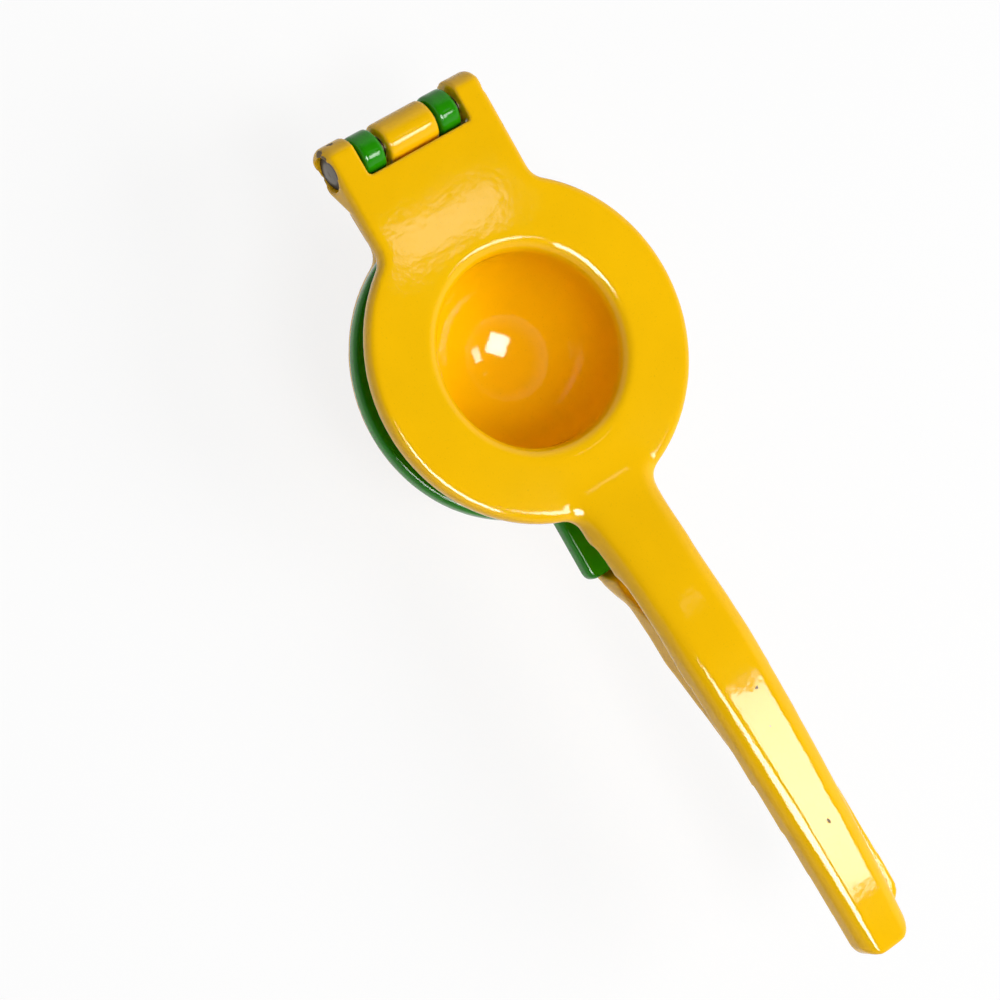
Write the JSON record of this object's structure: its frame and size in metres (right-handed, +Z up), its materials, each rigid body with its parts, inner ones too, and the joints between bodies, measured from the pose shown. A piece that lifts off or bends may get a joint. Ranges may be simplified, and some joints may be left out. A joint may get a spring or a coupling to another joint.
{
  "type": "hinged lemon squeezer",
  "caption": "Hand-held citrus press with nested drained cups for large and small fruit, a domed plunger and long handles on a shared hinge pin.",
  "frame": {"origin": "middle of the flat foot under the lower bowl", "axes": "+X from the bowl towards the handle tips, +Y along the hinge pin, +Z up through the bowl's mouth"},
  "size_m": [0.2048, 0.074, 0.0557],
  "materials": {
    "yellow_enamel": "glossy",
    "yellow_enamel_press": "glossy",
    "green_enamel": "glossy",
    "pin_metal": "satin"
  },
  "bodies": {
    "lemon_bowl": {"lemon_bowl": "yellow_enamel"},
    "lime_cup": {"lime_cup": "green_enamel"},
    "press": {"press_handle": "yellow_enamel_press", "hinge_pin": "pin_metal"}
  },
  "joints": [
    {"name": "cup_hinge", "type": "hinge", "parent": "lemon_bowl", "child": "lime_cup", "pos_m": [-0.05197, -0.00172, 0.04001], "axis": [0, -1, 0], "range_deg": [0, 90]},
    {"name": "press_hinge", "type": "hinge", "parent": "lime_cup", "child": "press", "pos_m": [-0.05197, -0.00172, 0.04001], "axis": [0, -1, 0], "range_deg": [0, 90]}
  ]
}
